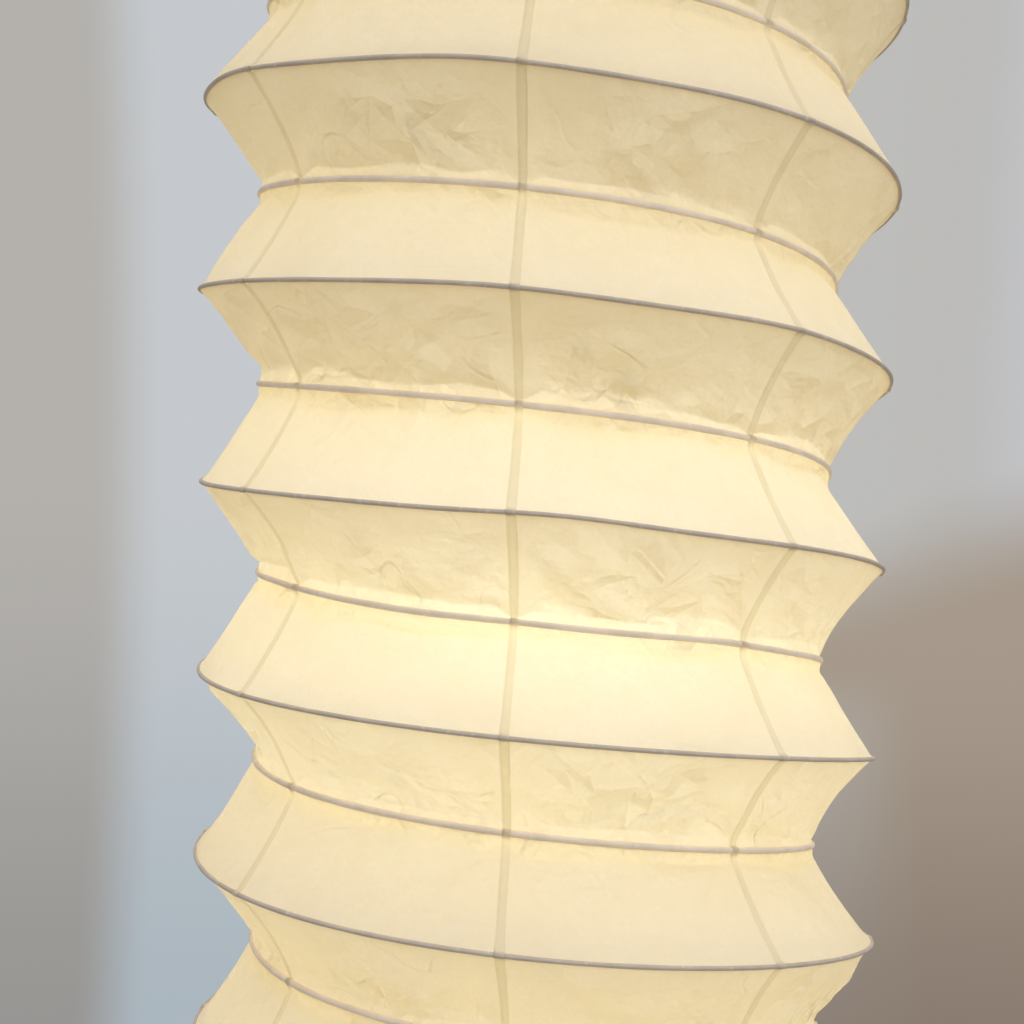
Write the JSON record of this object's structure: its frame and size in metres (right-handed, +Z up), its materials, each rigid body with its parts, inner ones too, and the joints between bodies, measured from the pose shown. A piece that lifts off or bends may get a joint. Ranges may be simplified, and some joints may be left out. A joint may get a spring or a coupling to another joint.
{
  "type": "paper lantern floor lamp",
  "caption": "Tall column lantern of spirally pleated paper over wire ribs, on a slim four-legged pole stand with lampholders and bulbs inside.",
  "frame": {"origin": "on the floor, in the middle of the stand, under the pole's axis", "axes": "+Z up along the pole; -Y towards the side that the picture shows, which is also the side of the lampholders"},
  "size_m": [0.5012, 0.5012, 1.942],
  "materials": {
    "paper": "matte, thin, crumpled along the folds",
    "rib_wire": "satin grey wire",
    "black_steel": "satin black",
    "plated_steel": "plated",
    "black_rubber": "matte",
    "holder_plastic": "matte black",
    "contact_brass": "bare",
    "bulb_cap_metal": "bare",
    "bulb_glass": "frosted"
  },
  "bodies": {
    "lamp": {"paper_gore_1": "paper", "paper_gore_2": "paper", "paper_gore_3": "paper", "paper_gore_4": "paper", "paper_gore_5": "paper", "paper_gore_6": "paper", "paper_gore_7": "paper", "paper_gore_8": "paper", "outer_rib": "rib_wire", "inner_rib": "rib_wire", "top_ring": "rib_wire", "top_binding": "paper", "base_hub": "black_steel", "hub_screws": "plated_steel", "cable_inlet_bush": "black_rubber", "ring_saddles": "black_steel", "leg_1": "black_steel", "leg_2": "black_steel", "leg_3": "black_steel", "leg_4": "black_steel", "foot_1": "black_rubber", "foot_2": "black_rubber", "foot_3": "black_rubber", "foot_4": "black_rubber", "lower_pole": "black_steel", "upper_pole": "black_steel", "pole_coupling": "black_steel", "spreader_hub": "black_steel", "finial_knob": "black_steel", "spreader_arm_1": "plated_steel", "spreader_arm_2": "plated_steel", "spreader_arm_3": "plated_steel", "spreader_arm_4": "plated_steel", "bracket_screws": "plated_steel", "lower_bracket": "black_steel", "lower_holder_body": "holder_plastic", "lower_holder_shell": "contact_brass", "lower_holder_contact": "contact_brass", "upper_bracket": "black_steel", "upper_holder_body": "holder_plastic", "upper_holder_shell": "contact_brass", "upper_holder_contact": "contact_brass"},
    "shade_foot": {"bottom_ring": "rib_wire", "bottom_binding": "paper"},
    "lower_bulb": {"lower_bulb_cap": "bulb_cap_metal", "lower_bulb_glass": "bulb_glass"},
    "upper_bulb": {"upper_bulb_cap": "bulb_cap_metal", "upper_bulb_glass": "bulb_glass"}
  },
  "joints": [
    {"name": "shade_raise", "type": "slide", "parent": "lamp", "child": "shade_foot", "axis": [0, 0, 1], "range_m": [0, 1.45], "deforming": ["paper_gore_1", "paper_gore_2", "paper_gore_3", "paper_gore_4", "paper_gore_5", "paper_gore_6", "paper_gore_7", "paper_gore_8", "outer_rib", "inner_rib"]},
    {"name": "lower_bulb_out", "type": "slide", "parent": "lamp", "child": "lower_bulb", "axis": [0, 0, 1], "range_m": [0, 0.045]},
    {"name": "upper_bulb_out", "type": "slide", "parent": "lamp", "child": "upper_bulb", "axis": [0, 0, 1], "range_m": [0, 0.045]}
  ]
}
